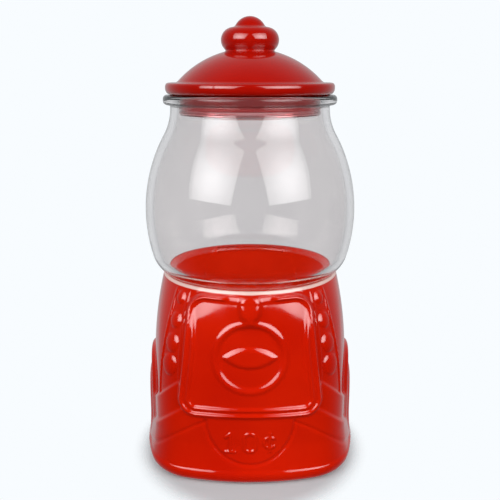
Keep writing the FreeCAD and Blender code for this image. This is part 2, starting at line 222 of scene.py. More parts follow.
def jar_outline():
    """Rows of the underside from its middle, then of the wall, then of the globe and the inside down to its floor."""
    push_up_ball = (PUSH_UP_R ** 2 + PUSH_UP_RISE ** 2) / (2 * PUSH_UP_RISE)
    under_r = np.linspace(POLE_R, PUSH_UP_R, 12)
    under_z = PUSH_UP_RISE - push_up_ball + np.sqrt(push_up_ball ** 2 - under_r ** 2)
    foot_half = WALL_HALF + FOOT_STEP
    heel = arc((foot_half - HEEL_ROUND, HEEL_ROUND), HEEL_ROUND, -90, HEEL_END, 9)
    wall_z = np.linspace(HEEL_ROUND / 2, WAIST_Z, 60)
    wall = np.column_stack([wall_half(wall_z), wall_z, squareness(wall_z)])
    ring_square = np.linspace(0, 1, 5)[1:-1]
    ring_half = np.linspace(PUSH_UP_R, foot_half - HEEL_ROUND, 5)[1:-1]
    ring = np.column_stack([ring_half, np.zeros_like(ring_half), ring_square])
    lip = rim_r - RIM_ROUND
    globe = np.vstack([
        arc(turn_centre, GLOBE_TURN, -WAIST_ANGLE, -TURN_ANGLE, 16),
        arc(belly_centre, BELLY_CURVE, -TURN_ANGLE, neck_angle, 64)[1:],
        arc(neck_centre, NECK_CURVE, 180 + neck_angle, 180, 16)[1:],
        arc((NECK_R + RIM_ROOT, rim_foot_z - RIM_ROOT), RIM_ROOT, 180, 90, 5),
        arc((lip, rim_foot_z + RIM_ROUND), RIM_ROUND, -90, 0, 8),
        arc((lip, rim_top_z - RIM_ROUND), RIM_ROUND, 0, 90, 8),
        arc((mouth_r + MOUTH_ROUND, rim_top_z - MOUTH_ROUND), MOUTH_ROUND, 90, 180, 8),
        arc(neck_centre, NECK_CURVE + GLASS_WALL, 180, 180 + neck_angle, 16),
        arc(belly_centre, BELLY_CURVE - GLASS_WALL, neck_angle, -TURN_ANGLE, 64)[1:],
        arc(turn_centre, inner_turn, -TURN_ANGLE, -bead_angle, 20)[1:],
        arc(bead_centre, THROAT_BEAD, 180 - bead_angle, 180, 10)[1:],
    ])
    throat_z = bead_centre[1]
    inner_z = np.linspace(throat_z, FLOOR_THICK + FLOOR_ROUND, 56)[1:]
    blend = np.clip((throat_z - inner_z) / (throat_z - FLARE_Z), 0, 1)
    ease = blend * blend * (3 - 2 * blend)
    inner_half = THROAT_R + (wall_half(inner_z) - PEDESTAL_WALL - THROAT_R) * ease
    inside = np.column_stack([inner_half, inner_z, squareness(inner_z)])
    bowl = arc((inner_half[-1] - FLOOR_ROUND, FLOOR_THICK + FLOOR_ROUND), FLOOR_ROUND, 0, -90, 10)[1:]
    floor_r = np.linspace(bowl[-1, 0], POLE_R, 14)[1:]
    floor = np.column_stack([floor_r, np.full_like(floor_r, FLOOR_THICK), np.linspace(1, 0, len(floor_r))])
    below = np.vstack([
        round_rows(np.column_stack([under_r, under_z])), ring,
        np.column_stack([heel, np.ones(len(heel))]),
    ])
    above = np.vstack([round_rows(globe), inside, np.column_stack([bowl, np.ones(len(bowl))]), floor])
    return below, wall, above


print("rim top", round(rim_top_z, 2), "belly", round(belly_centre[0] + BELLY_CURVE, 2))

# %% [markdown]
# The relief of the pedestal is a height above the plain wall. Each raised or sunk shape has a signed distance to
# its outline, negative inside, and a soft step turns the distance into a level. Shapes are laid over one another
# in order, as a mould maker would carve them: arches, side plaques, front field, frame, coin turn, slot and flap.

# %% Soft steps and outlines
EDGE = 1.3


def step(distance, edge=EDGE):
    """1 inside an outline and 0 outside, with a smooth rise of the given width."""
    t = np.clip(0.5 - distance / edge, 0, 1)
    return t * t * (3 - 2 * t)


def lay(height, level, mask):
    """Brings the surface to a level wherever a mask is 1."""
    return height + (level - height) * mask


def box_distance(x, z, half_x, half_z, corner):
    """Signed distance to a rounded rectangle centred on the origin."""
    dx = np.abs(x) - half_x + corner
    dz = np.abs(z) - half_z + corner
    outside = np.hypot(np.maximum(dx, 0), np.maximum(dz, 0))
    return outside + np.minimum(np.maximum(dx, dz), 0) - corner


def stroke_distance(x, z, a, b):
    """Distance to the straight stroke from a to b."""
    ax, az = b[0] - a[0], b[1] - a[1]
    t = np.clip(((x - a[0]) * ax + (z - a[1]) * az) / (ax * ax + az * az), 0, 1)
    return np.hypot(x - a[0] - t * ax, z - a[1] - t * az)


print("edge of a step", EDGE)

# %% [markdown]
# The broad forms come first, because the glass under the coat shares them: two arches that cross the front and the
# back, a stepped plaque on either side, a field on the front and on the back, and a skirt that runs out to the foot.

# %% Relief of the pedestal
ARCH_CURVE = 69.0
ARCHES = ((79.0, 1.5), (61.0, 3.0))
PLAQUES = ((25.5, 70.0, 2.8), (20.5, 55.0, 4.2))
PLAQUE_REACH = 40.0
PLAQUE_EDGE = 3.2
ARCH_EDGE = 2.2
FOOT_HEIGHT = 9.4
FOOT_RIDGE = 0.7
FOOT_EDGE = 2.6
SKIRT_Z = 27.0
SKIRT_CURVE = 1.5
RING_Z = 82.0
FIELD_RAISE_TOP = 1.9
FIELD_RAISE_FOOT = 3.5
FIELD_TOP_HALF = 36.0
FIELD_FOOT_HALF = 44.0
FIELD_FOOT_Z = 44.0
FIELD_TOP_GAP = 2.2
FIELD_ROUND = 12.0
OUTER_BEAD = (2.0, 1.7, 1.4)
INNER_BEAD = (1.2, 1.9, 1.0)
PANEL_INSET_TOP = 3.9
PANEL_INSET_FOOT = 7.0
PANEL_SINK = 0.3
PANEL_EDGE = 2.0
PANEL_LINE_DROP = 8.0
PANEL_LINE_RUN = 25.0
SLOT_GAP_R = 14.5
SLOT_GAP_EDGE = 5.0
WAIST_FADE_DROP = 1.8
WAIST_FADE_EDGE = 2.0


def bell(offset, half):
    """A rounded ridge: 1 along its crest, falling as a squared cosine to 0 at half its width on either side."""
    return np.cos(math.pi / 2 * np.clip(np.abs(offset) / half, 0, 1)) ** 2


def field_inset(x, z):
    """How far a point lies inside the front field, a rounded rectangle whose sides spread towards its foot."""
    top = WAIST_Z - FIELD_TOP_GAP
    middle, tall = (top + FIELD_FOOT_Z) / 2, (top - FIELD_FOOT_Z) / 2
    spread = FIELD_TOP_HALF + (FIELD_FOOT_HALF - FIELD_TOP_HALF) * np.clip((top - z) / (top - FIELD_FOOT_Z), 0, 1)
    return -box_distance(x, z - middle, spread, tall, FIELD_ROUND)


def field_level(z):
    """How far the front field stands out: even at the top, and more towards its foot."""
    share = np.clip((RING_Z - z) / (RING_Z - FIELD_FOOT_Z), 0, 1)
    return FIELD_RAISE_TOP + (FIELD_RAISE_FOOT - FIELD_RAISE_TOP) * share


def broad_forms(x, y, z):
    """Height of the forms that the glass shares: arches, side plaques, the two fields and the skirt of the foot."""
    height = np.zeros_like(x)
    for crown, level in ARCHES:
        height = lay(height, level, step(np.hypot(x, z - crown + ARCH_CURVE) - ARCH_CURVE, ARCH_EDGE))
    for half, crown, level in PLAQUES:
        spring = crown - half
        arch = np.where(z > spring, np.hypot(y, z - spring), np.abs(y)) - half
        height = lay(height, np.maximum(height, level), step(arch, PLAQUE_EDGE) * (np.abs(x) > PLAQUE_REACH))
    height = lay(height, field_level(z), step(-field_inset(x, z)))
    skirt = np.clip((SKIRT_Z - z) / (SKIRT_Z - FOOT_HEIGHT), 0, 1) ** SKIRT_CURVE
    return lay(height, FOOT_STEP - FOOT_RIDGE, skirt)


def on_foot(height, z):
    """Fades the relief out under the waist, steps it out to the foot and rounds it under at the heel."""
    height = height * step(z - WAIST_Z + WAIST_FADE_DROP, WAIST_FADE_EDGE)
    height = lay(height, np.maximum(height, FOOT_STEP), step(z - FOOT_HEIGHT, FOOT_EDGE))
    return height - HEEL_ROUND + np.sqrt(HEEL_ROUND ** 2 - np.clip(HEEL_ROUND - z, 0, HEEL_ROUND) ** 2)


def relief(x, y, z):
    """Height above the plain wall: the broad forms, the beads that frame each field, and the works of the front."""
    height = broad_forms(x, y, z)
    inset = field_inset(x, z)
    slot_gap = step(np.hypot(x, z - WAIST_Z) - SLOT_GAP_R, SLOT_GAP_EDGE) * (y < 0)
    share = np.clip((WAIST_Z - PANEL_LINE_DROP - z) / PANEL_LINE_RUN, 0, 1)
    panel = PANEL_INSET_TOP + (PANEL_INSET_FOOT - PANEL_INSET_TOP) * share - inset
    height = height + OUTER_BEAD[2] * bell(inset - OUTER_BEAD[0], OUTER_BEAD[1]) * (1 - slot_gap)
    height = height + INNER_BEAD[2] * bell(panel - INNER_BEAD[0], INNER_BEAD[1]) * share
    height = lay(height, field_level(z) - PANEL_SINK, step(panel, PANEL_EDGE))
    return np.where(y < 0, front_work(x, z, height), height)


print("field from", FIELD_FOOT_Z, "to", round(WAIST_Z - FIELD_TOP_GAP, 1))

# %% [markdown]
# The front carries the works that a real machine would have, here only in relief: a coin turn, a ring with a
# dished middle and an almond grip, a coin slot as a soft mound, and a flap drawn by a fine groove.

# %% Works on the front
RING_R = 20.6
RING_HALF = 3.3
RING_RAISE = 1.0
DISH_DEPTH = 0.8
HANDLE_HALF = 17.2
HANDLE_RISE = 7.0
HANDLE_RAISE = 1.3
HANDLE_EDGE = 3.2
MOUND_Z = 110.5
MOUND_HALF = 14.0
MOUND_RAISE = 1.8
MOUND_TALL = 0.8
SLOT_Z = 112.5
SLOT_HALF = 6.0
SLOT_RAISE = 1.3
SLOT_TALL = 0.7
SLOT_EDGE = 3.5
FLAP_R = 26.6
FLAP_Z = 43.0
FLAP_DROP = 29.0
GROOVE_HALF = 1.6
GROOVE_DEPTH = 0.8
CREASE_CROWN = 46.3
CREASE_DEPTH = 0.5
FLAP_EDGE = 3.0


def front_work(x, z, height):
    """Adds the coin turn, the slot, the flap and its figures to the front."""
    away = np.hypot(x, z - RING_Z)
    height = height - DISH_DEPTH * step(away - RING_R, 2 * RING_HALF)
    height = height + RING_RAISE * bell(away - RING_R, RING_HALF)
    curve = (HANDLE_HALF ** 2 + HANDLE_RISE ** 2) / (2 * HANDLE_RISE)
    almond = np.hypot(x, np.abs(z - RING_Z) + curve - HANDLE_RISE) - curve
    height = height + HANDLE_RAISE * np.sin(math.pi / 2 * np.clip(-almond / HANDLE_EDGE, 0, 1))
    height = height + MOUND_RAISE * bell(np.hypot(x, MOUND_TALL * (z - MOUND_Z)), MOUND_HALF)
    height = height + SLOT_RAISE * step(np.hypot(x, SLOT_TALL * (z - SLOT_Z)) - SLOT_HALF, SLOT_EDGE)
    crease = np.hypot(x, z - CREASE_CROWN + ARCH_CURVE) - ARCH_CURVE
    flap = (np.hypot(x / FLAP_R, (z - FLAP_Z) / FLAP_DROP) - 1) * FLAP_R
    beside = step(FLAP_R - np.abs(x), FLAP_EDGE)
    height = height - CREASE_DEPTH * bell(crease, GROOVE_HALF) * beside
    height = height - GROOVE_DEPTH * bell(flap, GROOVE_HALF) * step(z - FLAP_Z, FLAP_EDGE)
    return height + figures(x, z)


print("coin turn at", RING_Z, "flap from", FLAP_Z - FLAP_DROP, "to", FLAP_Z)

# %% [markdown]
# The flap bears a plain price in raised strokes of one width. Each figure is the least distance to its strokes,
# so the strokes join cleanly wherever they meet.

# %% Figures on the flap
FIGURE_FOOT_Z = 22.5
FIGURE_TALL = 12.0
FIGURE_HALF = 3.4
FIGURE_PITCH = 11.7
FIGURE_PEN = 0.75
FIGURE_RAISE = 0.8
FIGURE_EDGE = 0.9
FLAG_REACH = 2.6
BASE_HALF = 2.8
MARK_GAP = 0.7


def figures(x, z):
    """Height of the raised figures: a one, a nought, and a ring with a gap crossed by an upright."""
    low, high = FIGURE_FOOT_Z, FIGURE_FOOT_Z + FIGURE_TALL
    middle = (low + high) / 2
    left, right = x + FIGURE_PITCH, x - FIGURE_PITCH
    one = np.minimum(stroke_distance(left, z, (0, low), (0, high)),
                     stroke_distance(left, z, (-FLAG_REACH, high - FLAG_REACH), (0, high)))
    one = np.minimum(one, stroke_distance(left, z, (-BASE_HALF, low), (BASE_HALF, low)))
    nought = np.abs(box_distance(x, z - middle, FIGURE_HALF, FIGURE_TALL / 2, FIGURE_HALF))
    hoop = np.abs(np.hypot(right, z - middle) - FIGURE_HALF)
    hoop = np.where((right > 0) & (np.abs(z - middle) < MARK_GAP * right), FIGURE_TALL, hoop)
    mark = np.minimum(hoop, stroke_distance(right, z, (0, low), (0, high)))
    return FIGURE_RAISE * step(np.minimum(np.minimum(one, nought), mark) - FIGURE_PEN, FIGURE_EDGE)


print("figures", FIGURE_TALL, "tall")

# %% [markdown]
# The rivets sit on the four corners of the wall. A rivet is a low dome, so its height is a ball's height over the
# distance from its seat, measured along the surface by height and by arc length round the corner.

# %% Rivets and the ridges beside them
RIVETS = 4
RIVET_TOP_Z = 113.5
RIVET_PITCH = 13.6
RIVET_TOP_R = 3.8
RIVET_GROWTH = 0.95
RIVET_RAISE = 1.3
STRIP_RIDGE = 0.9
STRIP_RIDGE_HALF = 1.3
STRIP_CLEAR = 1.6
STRIP_FOOT_Z = 48.0
STRIP_FOOT_FADE = 6.0
STRIP_TOP_Z = 118.0
STRIP_TOP_FADE = 4.0
STRIP_INNER = 0.45


def rivet_height(z, facing):
    """Tallest dome over each point, and the two ridges that border the corner strips."""
    height = np.zeros_like(z)
    corner_r = wall_half(z) * (1 - CORNER_CUT * squareness(z))
    across = (np.mod(facing, math.pi / 2) - math.pi / 4) * corner_r
    for k in range(RIVETS):
        radius = RIVET_TOP_R + RIVET_GROWTH * k
        away = np.hypot(across, z - RIVET_TOP_Z + RIVET_PITCH * k) / radius
        height = np.maximum(height, RIVET_RAISE * np.sqrt(np.clip(1 - away ** 2, 0, 1)))
    strip = RIVET_TOP_R + RIVET_GROWTH * (RIVET_TOP_Z - z) / RIVET_PITCH + STRIP_CLEAR
    ends = step(STRIP_FOOT_Z - z, STRIP_FOOT_FADE) * step(z - STRIP_TOP_Z, STRIP_TOP_FADE)
    ridge = bell(np.abs(across) - strip, STRIP_RIDGE_HALF) * ends
    inner_side = across * np.cos(facing) * np.sin(facing) > 0
    return np.maximum(height, STRIP_RIDGE * ridge * np.where(inner_side, STRIP_INNER, 1.0))


print("rivets down to", round(RIVET_TOP_Z - RIVET_PITCH * (RIVETS - 1), 1))

# %% [markdown]
# The mould presses the broad forms into the glass itself, so its wall is moved out under them. The glass stays a
# millimetre lower than the coat, which carries the fine work, so that no glass comes through a groove.

# %% Glass of the jar
GLASS_UNDER = 1.0
COLUMNS = 240


def glass_height(x, y, z):
    """Height of the glass over the plain wall: the broad forms less a millimetre, and never under the plain wall."""
    return np.maximum(on_foot(broad_forms(x, y, z), z) - GLASS_UNDER, 0)


def jar_grid(facing):
    """The rows of the jar carried round its axis, with the wall moved out along the way that it faces."""
    below, wall, above = (spun(rows, facing) for rows in jar_outline())
    x, y, z = wall[..., 0], wall[..., 1], wall[..., 2]
    out = glass_height(x, y, z)
    wall = np.stack([x + out * np.cos(facing), y + out * np.sin(facing), z], axis=-1)
    return np.concatenate([below, wall, above])


even = np.linspace(0, 2 * math.pi, COLUMNS, endpoint=False)
jar_skin = grid_piece("jar_glass_skin", jar_grid(even), "jar", "jar_glass")

# %% [markdown]
# The coat is a skin over the glass. Its outside carries the relief and its inside lies a hair within the glass, as
# paint grips a wall with no air between. Columns are packed closer on the front, where the fine work is.

# %% Coat of the pedestal
COAT = 0.3
GRIP = 0.4
COAT_LIP = 1.0
COAT_FOOT_GAP = 1.0
COAT_ROWS = 192
INNER_ROWS = 42
# Quarter turn of each side, the columns on its face and those on the corner after it.
SIDE_COLUMNS = ((3, 116, 54), (0, 56, 30), (1, 30, 30), (2, 56, 54))


def coat_columns():
    """Facing angles round the wall: many on the front face and its corners, fewer on the sides and the back."""
    quarter = math.pi / 2
    spans = []
    for side, face_count, corner_count in SIDE_COLUMNS:
        face = side * quarter
        spans.append(np.linspace(face - face_angle, face + face_angle, face_count, endpoint=False))
        spans.append(np.linspace(face + face_angle, face + quarter - face_angle, corner_count, endpoint=False))
    return np.mod(np.concatenate(spans), 2 * math.pi)


def coat_grid():
    """Outside rows from the heel up to the waist, then inside rows back down."""
    facing = coat_columns()[None, :]
    z = np.linspace(COAT_FOOT_GAP, WAIST_Z, COAT_ROWS)[:, None]
    half, square = wall_half(z), squareness(z)
    x, y = section(half, square, facing)
    full_z = np.broadcast_to(z, x.shape)
    full_facing = np.broadcast_to(facing, x.shape)
    height = np.maximum(relief(x, y, full_z), rivet_height(full_z, full_facing))
    lip = COAT_LIP - np.sqrt(COAT_LIP ** 2 - np.clip(z - WAIST_Z + COAT_LIP, 0, COAT_LIP) ** 2)
    out = on_foot(height, full_z) + COAT - LEDGE_WIDTH * lip
    outside = np.stack([x + out * np.cos(facing), y + out * np.sin(facing), full_z], axis=-1)
    back_z = np.linspace(WAIST_Z, COAT_FOOT_GAP, INNER_ROWS)[:, None]
    bx, by = section(wall_half(back_z), squareness(back_z), facing)
    full_back = np.broadcast_to(back_z, bx.shape)
    under = glass_height(bx, by, full_back) - GRIP
    inside = np.stack([bx + under * np.cos(facing), by + under * np.sin(facing), full_back], axis=-1)
    return np.concatenate([outside, inside])


coat_skin = grid_piece("jar_coat_skin", coat_grid(), "jar", "jar_coat", ring=True)
around = len(coat_columns())
inner_faces = np.zeros(len(coat_skin.data.polygons), dtype=np.int32)
inner_faces[COAT_ROWS * around:-around] = 1
coat_skin.data.polygons.foreach_set("material_index", inner_faces)
print("inner faces of the coat", int(inner_faces.sum()))

# %% [markdown]
# The lid is turned about its axis: finial, knob, dome, flange and plug. The outline is drawn from arcs with sharp
# meetings, sampled evenly and then averaged along its length, which rounds every meeting as a mould does. Moving
# the outline along its normals gives the glass under the coat.

# %% Outline of the lid
FLANGE_R = 52.9
FLANGE_HEIGHT = 7.4
FLANGE_LOWER_ROUND = 3.4
FLANGE_UPPER_ROUND = 1.8
DOME_CURVE = 61.0
DOME_TOP = 28.0
KNOB_R = 18.0
KNOB_CURVE = 7.7
KNOB_Z = 32.8
KNOB_ROOT_R = 14.6
FINIAL_CURVE = 10.2
LINE_PITCH = 0.25
MOULD_ROUND = 1.0
LID_HEIGHT = 47.0
PLUG_GAP = 2.1
PLUG_DEPTH = 13.3
plug_r = mouth_r - PLUG_GAP


def meeting(first, first_r, second, second_r):
    """The outer point where two circles of a half section cross."""
    first, second = np.array(first), np.array(second)
    gap = second - first
    apart = np.linalg.norm(gap)
    way = gap / apart
    along = (apart ** 2 + first_r ** 2 - second_r ** 2) / (2 * apart)
    across = math.sqrt(first_r ** 2 - along ** 2)
    side = np.array([-way[1], way[0]]) * across
    return max(first + way * along + side, first + way * along - side, key=lambda point: point[0])


def even_spacing(points, pitch):
    """Resamples a chain of points at even steps along its length."""
    length = np.concatenate([[0], np.cumsum(np.linalg.norm(np.diff(points, axis=0), axis=1))])
    where = np.linspace(0, length[-1], int(length[-1] / pitch) + 2)
    return np.column_stack([np.interp(where, length, points[:, k]) for k in range(2)])


def softened(points, pitch, spread):
    """Averages a chain over a bell of the given spread, with its ends mirrored through so that they stay put."""
    reach = int(3 * spread / pitch)
    weight = np.exp(-0.5 * (np.arange(-reach, reach + 1) * pitch / spread) ** 2)
    weight /= weight.sum()
    before = 2 * points[0] - points[reach:0:-1]
    after = 2 * points[-1] - points[-2:-reach - 2:-1]
    padded = np.vstack([before, points, after])
    return np.column_stack([np.convolve(padded[:, k], weight, mode="valid") for k in range(2)])


def moved(points, inset):
    """Moves a chain sideways along its normals, to the right of its run when inset is positive."""
    run_way = np.gradient(points, axis=0)
    run_way /= np.linalg.norm(run_way, axis=1, keepdims=True)
    return points + inset * np.column_stack([run_way[:, 1], -run_way[:, 0]])


def angle_of(point, centre):
    """The angle, in degrees, at which a point lies from a centre."""
    return math.degrees(math.atan2(point[1] - centre[1], point[0] - centre[0]))


dome_centre = (0.0, rim_top_z + DOME_TOP - DOME_CURVE)
knob_centre = (KNOB_R - KNOB_CURVE, rim_top_z + KNOB_Z)
finial_centre = (0.0, rim_top_z + LID_HEIGHT - FINIAL_CURVE)


def lid_outline():
    """The outside of the lid from the top of the finial to the foot of the plug."""
    crease = meeting(finial_centre, FINIAL_CURVE, knob_centre, KNOB_CURVE)
    root = (KNOB_ROOT_R, dome_centre[1] + math.sqrt(DOME_CURVE ** 2 - KNOB_ROOT_R ** 2))
    top_z = rim_top_z + FLANGE_HEIGHT
    dome_foot = (math.sqrt(DOME_CURVE ** 2 - (top_z - dome_centre[1]) ** 2), top_z)
    upper, lower = FLANGE_UPPER_ROUND, FLANGE_LOWER_ROUND
    chain = np.vstack([
        arc(finial_centre, FINIAL_CURVE, 90, angle_of(crease, finial_centre), 24),
        arc(knob_centre, KNOB_CURVE, angle_of(crease, knob_centre), angle_of(root, knob_centre), 60),
        arc(dome_centre, DOME_CURVE, angle_of(root, dome_centre), angle_of(dome_foot, dome_centre), 80),
        arc((FLANGE_R - upper, top_z - upper), upper, 90, 0, 16),
        arc((FLANGE_R - lower, rim_top_z + lower), lower, 0, -90, 24),
        run((plug_r, rim_top_z), (plug_r, rim_top_z - PLUG_DEPTH), 40),
    ])
    return softened(even_spacing(chain, LINE_PITCH), LINE_PITCH, MOULD_ROUND)


lid_line = lid_outline()
print("lid outline points", len(lid_line), "top", round(lid_line[0, 1], 2))

# %% [markdown]
# A pressed lid shows a fine seam where the halves of its mould met. It is a ridge a sixth of a millimetre high,
# so the columns are packed closer about it. It shows on the flange, and the dome and the knob are polished clean.

# %% Coat of the lid
SEAM_FACING = -math.pi / 2 - math.radians(22.6)
SEAM_HALF = 0.45
SEAM_RAISE = 0.16
SEAM_SPREAD = 0.035
SEAM_COLUMNS = 29
SEAM_START = 0.5
SEAM_FADE = 2.0
LID_GRIP = 0.05
PLUG_BARE = 4.3
AXIS_GAP = 0.05


def lid_columns():
    """Even columns, with close ones about the two seams."""
    near = np.linspace(-SEAM_SPREAD, SEAM_SPREAD, SEAM_COLUMNS)
    seams = np.concatenate([SEAM_FACING + near, SEAM_FACING + math.pi + near])
    return np.unique(np.round(np.mod(np.concatenate([even, seams]), 2 * math.pi), 6))


def lid_coat_grid():
    """Inside rows down from the top, then outside rows back up, with the seam raised on the outside."""
    facing = lid_columns()
    bare_z = rim_top_z - PLUG_DEPTH + PLUG_BARE
    outside = lid_line[lid_line[:, 1] > bare_z][2::2]
    inside = moved(outside, COAT + LID_GRIP)[::2]
    inside[:, 0] = np.maximum(inside[:, 0], AXIS_GAP)
    upward = outside[::-1]
    outer_rows = spun(round_rows(upward), facing)
    off = np.sin(facing - SEAM_FACING) * upward[:, 0, None]
    seam = SEAM_RAISE * np.exp(-(off / SEAM_HALF) ** 2)
    over_rim = upward[:, 1, None] - rim_top_z
    seam *= (over_rim > SEAM_START) * step(over_rim - FLANGE_HEIGHT, SEAM_FADE)
    outer_rows[..., 0] += seam * np.cos(facing)
    outer_rows[..., 1] += seam * np.sin(facing)
    return np.concatenate([spun(round_rows(inside), facing), outer_rows])


lid_coat_skin = grid_piece("lid_coat_skin", lid_coat_grid(), "lid", "lid_coat")

# %% [markdown]
# Under the coat the lid is glass, hollow below the dome, with a lip at the foot of the plug that holds the seal.

# %% Glass of the lid
LID_WALL = 4.5
PLUG_WALL = 4.0
LIP_OUT = 0.8
LIP_HEIGHT = 1.4
LIP_ROUND = 0.6
PLUG_ROUND = 1.0
AXIS_CLEAR = 0.2
CEILING_END = 89.5


def lid_glass_outline():
    """Down the outside under the coat, round the lip, and up the inside to the middle of the ceiling."""
    foot_z = rim_top_z - PLUG_DEPTH
    glass = moved(lid_line, COAT)[2::3]
    glass = glass[(glass[:, 1] > foot_z + LIP_HEIGHT) & (glass[:, 0] > AXIS_CLEAR)]
    inner_r = plug_r - PLUG_WALL
    ceiling_r = DOME_CURVE - LID_WALL
    spring = math.degrees(math.acos(inner_r / ceiling_r))
    lip = np.array([(plug_r - COAT, foot_z + LIP_HEIGHT), (plug_r + LIP_OUT, foot_z + LIP_HEIGHT)])
    foot = np.vstack([
        lip,
        arc((plug_r + LIP_OUT - LIP_ROUND, foot_z + LIP_ROUND), LIP_ROUND, 0, -90, 6),
        arc((inner_r + PLUG_ROUND, foot_z + PLUG_ROUND), PLUG_ROUND, -90, -180, 6),
    ])
    ceiling = arc(dome_centre, ceiling_r, spring, CEILING_END, 40)
    return round_rows(np.vstack([glass, foot, ceiling]))


lid_skin = grid_piece("lid_glass_skin", spun(lid_glass_outline(), even), "lid", "lid_glass")

# %% [markdown]
# The seal is a soft clear ring with fins that wipe the mouth. Its outside is a wave along the height.

# %% Seal
SEAL_SLIDE_GAP = 0.3
SEAL_RUN_GAP = 0.08
SEAL_TOP_GAP = 0.4
SEAL_FOOT_GAP = 0.02
SEAL_BAND = 0.8
SEAL_FINS = 4
FIN_CURVE = 1.5


def seal_outline():
    """A closed ring: finned outside as a raised cosine of the height, straight inside."""
    foot_z = rim_top_z - PLUG_DEPTH + LIP_HEIGHT
    z = np.linspace(foot_z + SEAL_FOOT_GAP, rim_top_z - SEAL_TOP_GAP, 49)
    wave = 0.5 - 0.5 * np.cos(2 * math.pi * SEAL_FINS * (z - z[0]) / (z[-1] - z[0]))
    band_r = plug_r + SEAL_RUN_GAP + SEAL_BAND
    fin_r = mouth_r - SEAL_SLIDE_GAP
    outside = np.column_stack([band_r + (fin_r - band_r) * wave ** FIN_CURVE, z])
    inside_z = np.linspace(z[-1], z[0], 8)
    inside = np.column_stack([np.full_like(inside_z, plug_r + SEAL_RUN_GAP), inside_z])
    return round_rows(np.vstack([outside, inside]))


seal_skin = grid_piece("lid_seal_skin", spun(seal_outline(), even), "seal", "lid_seal", ring=True)

# %% [markdown]
# Finishes. The coat is a glossy enamel: a deep red that drifts a little in tone, a sheen that varies slightly and
# the faint waviness of a dipped surface. Patterns read Object coordinates, so they stay with the piece.

# %% Node helpers
RAMP_START, RAMP_END = 0.35, 0.65


def new_material(name):
    """An empty node material with a Principled shader wired to its output."""
    material = bpy.data.materials.new(name)
    material.use_nodes = True
    tree = material.node_tree
    return material, tree.nodes, tree.links, tree.nodes["Principled BSDF"]


def feed(links, source, socket):
    """Sets a socket to a number, or links an output to it."""
    if isinstance(source, (int, float)):
        socket.default_value = source
    else:
        links.new(source, socket)


def noise(nodes, links, scale, detail):
    """Noise over Object coordinates."""
    place = nodes.new("ShaderNodeTexCoord")
    texture = nodes.new("ShaderNodeTexNoise")
    texture.inputs["Scale"].default_value = scale
    texture.inputs["Detail"].default_value = detail
    links.new(place.outputs["Object"], texture.inputs["Vector"])
    return texture.outputs["Fac"]


def ramp(nodes, links, source, low, high):
    """A two-colour ramp over the middle of a noise."""
    colours = nodes.new("ShaderNodeValToRGB")
    start, end = colours.color_ramp.elements
    start.position, end.position = RAMP_START, RAMP_END
    start.color, end.color = (*low, 1), (*high, 1)
    links.new(source, colours.inputs["Fac"])
    return colours.outputs["Color"]


def bump(nodes, links, source, shader, strength, distance):
    """Turns a noise into a slight bump on the shader."""
    node = nodes.new("ShaderNodeBump")
    node.inputs["Strength"].default_value = strength
    node.inputs["Distance"].default_value = distance
    links.new(source, node.inputs["Height"])
    links.new(node.outputs["Normal"], shader.inputs["Normal"])


def math_node(nodes, links, operation, first, second):
    """A Math node fed by an output and by another output or a number."""
    node = nodes.new("ShaderNodeMath")
    node.operation = operation
    links.new(first, node.inputs[0])
    feed(links, second, node.inputs[1])
    return node.outputs["Value"]


def pass_light(nodes, colour):
    """A shader that lets light go straight on, tinted by a colour."""
    way = nodes.new("ShaderNodeBsdfTransparent")
    way.inputs["Color"].default_value = (*colour, 1)
    return way.outputs["BSDF"]


def blend_surface(nodes, links, share, first, second, output="Material Output"):
    """Mixes two shaders by a number or by an output, and sends the result to the surface."""
    mix = nodes.new("ShaderNodeMixShader")
    feed(links, share, mix.inputs["Fac"])
    links.new(first, mix.inputs[1])
    links.new(second, mix.inputs[2])
    links.new(mix.outputs["Shader"], nodes[output].inputs["Surface"])


print("node helpers ready, ramps from", RAMP_START, "to", RAMP_END)

# %% [markdown]
# The enamel is one Principled shader whose colour drifts between two near reds. Where the coat thins out at its
# upper edge, a pale band is mixed into the colour by height: a painted highlight that stands for light shining
# through the thin edge and the bare glass of the waist. The back of each face is clear, which lets light reach the
# inner face of the coat.

# %% Red enamel
RED_LOW = (0.58, 0.0085, 0.0006)
RED_HIGH = (0.66, 0.0125, 0.0010)
LID_RED_LOW = (0.40, 0.0045, 0.0012)
LID_RED_HIGH = (0.46, 0.0065, 0.0020)
GLOSS_LOW = (0.05, 0.05, 0.05)
GLOSS_HIGH = (0.10, 0.10, 0.10)
COAT_PASS = (1.0, 0.55, 0.45)
# Painted highlight: a pale band in the coat colour at its upper edge, standing for light through the bare glass of
# the waist.
PAINTED_EDGE_HIGHLIGHT = (0.90, 0.60, 0.54)
PAINTED_EDGE_HIGHLIGHT_Z = WAIST_Z - 1.8
PAINTED_EDGE_HIGHLIGHT_BLUR = 0.2
PAINTED_EDGE_HIGHLIGHT_TOP = WAIST_Z + 1.0


def painted_highlight_share(nodes, links):
    """1 in the band of height of the painted highlight at the coat's thin upper edge, and 0 below it and above it."""
    place = nodes.new("ShaderNodeTexCoord")
    parts = nodes.new("ShaderNodeSeparateXYZ")
    above = nodes.new("ShaderNodeMapRange")
    above.inputs["From Min"].default_value = (PAINTED_EDGE_HIGHLIGHT_Z - PAINTED_EDGE_HIGHLIGHT_BLUR) * MM
    above.inputs["From Max"].default_value = (PAINTED_EDGE_HIGHLIGHT_Z + PAINTED_EDGE_HIGHLIGHT_BLUR) * MM
    links.new(place.outputs["Object"], parts.inputs["Vector"])
    links.new(parts.outputs["Z"], above.inputs["Value"])
    below = math_node(nodes, links, "LESS_THAN", parts.outputs["Z"], PAINTED_EDGE_HIGHLIGHT_TOP * MM)
    return math_node(nodes, links, "MULTIPLY", above.outputs["Result"], below)


